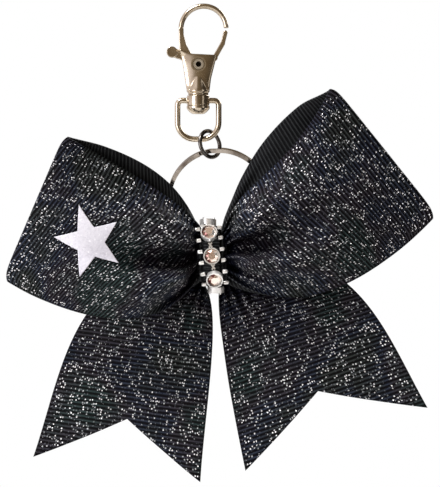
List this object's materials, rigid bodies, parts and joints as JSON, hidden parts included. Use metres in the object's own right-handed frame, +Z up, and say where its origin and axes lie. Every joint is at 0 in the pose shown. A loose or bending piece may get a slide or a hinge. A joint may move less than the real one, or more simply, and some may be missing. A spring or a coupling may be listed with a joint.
{
  "type": "cheer bow bag charm",
  "caption": "Folded ribbon bow with swallow-tail ends and a crystal centre, hung on a key ring, a jump ring and a swivel lobster clasp.",
  "frame": {"origin": "centre of the clasp hook's round eye, where the charm hangs", "axes": "+X to the right and +Z up as the bow is worn, +Y away from the viewer; it is stored hanging"},
  "size_m": [0.1113, 0.0308, 0.1233],
  "materials": {
    "nickel": "polished, slightly warm",
    "gunmetal": "dark polished",
    "ring_steel": "bright, lightly worn",
    "spring_steel": "plain",
    "ribbon": "ribbed grosgrain with silver glitter outside, plain inside",
    "thread": "matt thread",
    "wrap": "plain ribbed",
    "silver": "bright plated",
    "crystal": "faceted, foil backed",
    "film": "fine glitter film"
  },
  "bodies": {
    "clasp": {"clasp_body": "nickel", "rivet_pin": "nickel", "trigger_spring": "spring_steel", "swivel_stud": "nickel"},
    "trigger": {"trigger_lever": "nickel"},
    "bail": {"swivel_bail": "nickel"},
    "link": {"jump_ring": "gunmetal"},
    "key_ring": {"split_ring": "ring_steel"},
    "bow": {"loop_left_front": "ribbon", "loop_left_back": "ribbon", "loop_right_front": "ribbon", "loop_right_back": "ribbon", "tail_left": "ribbon", "tail_right": "ribbon", "knot_core": "ribbon", "cinch_thread": "thread", "center_wrap": "wrap", "stone_cups": "silver", "trim_links": "silver", "side_bars": "silver", "crystals": "crystal", "star_decal": "film"}
  },
  "joints": [
    {"name": "trigger_open", "type": "hinge", "parent": "clasp", "child": "trigger", "pos_m": [-0.0013, 0, -0.0092], "axis": [0, -1, 0], "range_deg": [0, 22], "stiffness_Nm_per_rad": 0.01, "springref_deg": -17.19},
    {"name": "swivel", "type": "hinge", "parent": "clasp", "child": "bail", "pos_m": [-0.0014, 0, -0.0184], "axis": [0, 0, 1], "continuous": true},
    {"name": "link_swing", "type": "hinge", "parent": "bail", "child": "link", "pos_m": [0.0014, 0, -0.02794], "axis": [0.9056, 0, 0.4242], "range_deg": [-40, 40]},
    {"name": "ring_swing", "type": "hinge", "parent": "link", "child": "key_ring", "pos_m": [0.0021, 0, -0.0313], "axis": [0, 1, 0], "range_deg": [-22, 22]},
    {"name": "bow_tilt", "type": "hinge", "parent": "key_ring", "child": "bow", "pos_m": [0.0021, 0.00615, -0.05567], "axis": [1, 0, 0], "range_deg": [0, 60]}
  ]
}
